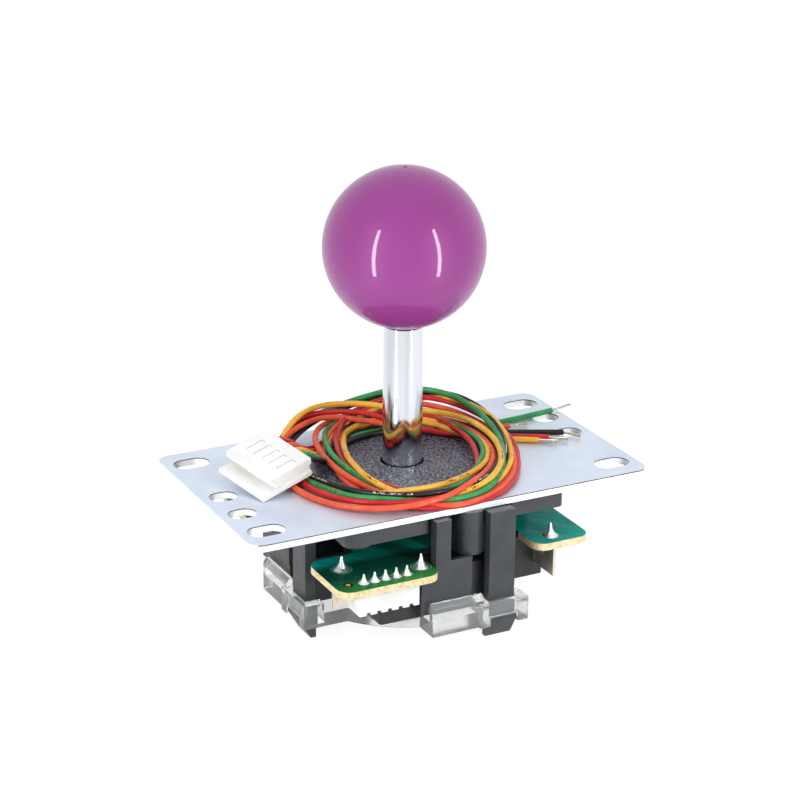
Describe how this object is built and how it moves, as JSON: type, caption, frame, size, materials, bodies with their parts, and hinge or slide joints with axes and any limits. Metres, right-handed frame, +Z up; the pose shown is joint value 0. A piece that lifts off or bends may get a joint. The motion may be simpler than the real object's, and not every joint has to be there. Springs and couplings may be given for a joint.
{
  "type": "arcade joystick lever",
  "caption": "Arcade joystick lever: ball top on a chrome shaft that tilts in a sprung seat under a slotted steel plate and works switches on a board, with a loose wire harness.",
  "frame": {"origin": "on the lever's axis, in the mounting plate's top face, where the lever pivots", "axes": "+Z up along the lever, +X along the plate's length, -Y towards the header's side"},
  "size_m": [0.0989, 0.0634, 0.0979],
  "materials": {
    "zinc": "bluish zinc plate, satin",
    "steel": "plain bright steel",
    "washer_black": "black with a fine leather grain",
    "ball_purple": "glossy purple",
    "brass": "turned brass",
    "chrome": "polished chrome",
    "bearing_black": "smooth black nylon",
    "actuator_black": "smooth black nylon",
    "housing_black": "black moulding, light sheen",
    "gate_clear": "clear moulding",
    "board_green": "green solder mask",
    "connector_white": "white nylon",
    "tin": "tinned",
    "solder": "bright solder",
    "switch_black": "black moulding",
    "plunger_red": "smooth moulding",
    "wire_mixed": "coloured wire insulation",
    "wire_black": "black insulation",
    "wire_green": "green insulation",
    "wire_yellow": "yellow insulation",
    "wire_orange": "orange insulation",
    "wire_red": "red insulation",
    "strand_tin": "twisted tinned copper"
  },
  "bodies": {
    "base": {"mounting_plate": "zinc", "plate_screws": "steel", "dust_washer": "washer_black", "housing": "housing_black", "restrictor_gate": "gate_clear", "circuit_board": "board_green", "header_housing": "connector_white", "header_pins": "tin", "solder_joints": "solder", "switch_case_front": "switch_black", "switch_cover_front": "switch_black", "switch_terminals_front": "tin", "switch_case_right": "switch_black", "switch_cover_right": "switch_black", "switch_terminals_right": "tin", "switch_case_back": "switch_black", "switch_cover_back": "switch_black", "switch_terminals_back": "tin", "switch_case_left": "switch_black", "switch_cover_left": "switch_black", "switch_terminals_left": "tin", "harness_plug": "connector_white", "plug_contacts": "tin", "harness_coil": "wire_mixed", "wire_lead_black": "wire_black", "wire_tail_black": "wire_black", "bare_strand_black": "strand_tin", "wire_lead_green": "wire_green", "wire_tail_green": "wire_green", "bare_strand_green": "strand_tin", "wire_lead_yellow": "wire_yellow", "wire_tail_yellow": "wire_yellow", "bare_strand_yellow": "strand_tin", "wire_lead_orange": "wire_orange", "wire_tail_orange": "wire_orange", "bare_strand_orange": "strand_tin", "wire_lead_red": "wire_red", "wire_tail_red": "wire_red", "bare_strand_red": "strand_tin"},
    "gimbal": {"return_spring": "steel"},
    "lever": {"pivot_bearing": "bearing_black", "actuator": "actuator_black"},
    "stick": {"shaft": "chrome", "ball_top": "ball_purple", "ball_insert": "brass", "retaining_clip": "steel"},
    "plunger_front": {"switch_plunger_front": "plunger_red"},
    "plunger_right": {"switch_plunger_right": "plunger_red"},
    "plunger_back": {"switch_plunger_back": "plunger_red"},
    "plunger_left": {"switch_plunger_left": "plunger_red"}
  },
  "joints": [
    {"name": "lever_tilt_sideways", "type": "hinge", "parent": "base", "child": "gimbal", "pos_m": [0, 0, 0], "axis": [0, 1, 0], "range_deg": [-10, 10], "stiffness_Nm_per_rad": 0.6, "deforming": ["return_spring"]},
    {"name": "lever_tilt_forward", "type": "hinge", "parent": "gimbal", "child": "lever", "pos_m": [0, 0, 0], "axis": [1, 0, 0], "range_deg": [-10, 10], "stiffness_Nm_per_rad": 0.6, "deforming": ["return_spring"]},
    {"name": "shaft_spin", "type": "hinge", "parent": "lever", "child": "stick", "pos_m": [0, 0, 0], "axis": [0, 0, 1], "continuous": true},
    {"name": "plunger_front_press", "type": "slide", "parent": "base", "child": "plunger_front", "axis": [0, -1, 0], "range_m": [0, 0.0006], "stiffness_N_per_m": 1500},
    {"name": "plunger_right_press", "type": "slide", "parent": "base", "child": "plunger_right", "axis": [1, 0, 0], "range_m": [0, 0.0006], "stiffness_N_per_m": 1500},
    {"name": "plunger_back_press", "type": "slide", "parent": "base", "child": "plunger_back", "axis": [0, 1, 0], "range_m": [0, 0.0006], "stiffness_N_per_m": 1500},
    {"name": "plunger_left_press", "type": "slide", "parent": "base", "child": "plunger_left", "axis": [-1, 0, 0], "range_m": [0, 0.0006], "stiffness_N_per_m": 1500}
  ]
}
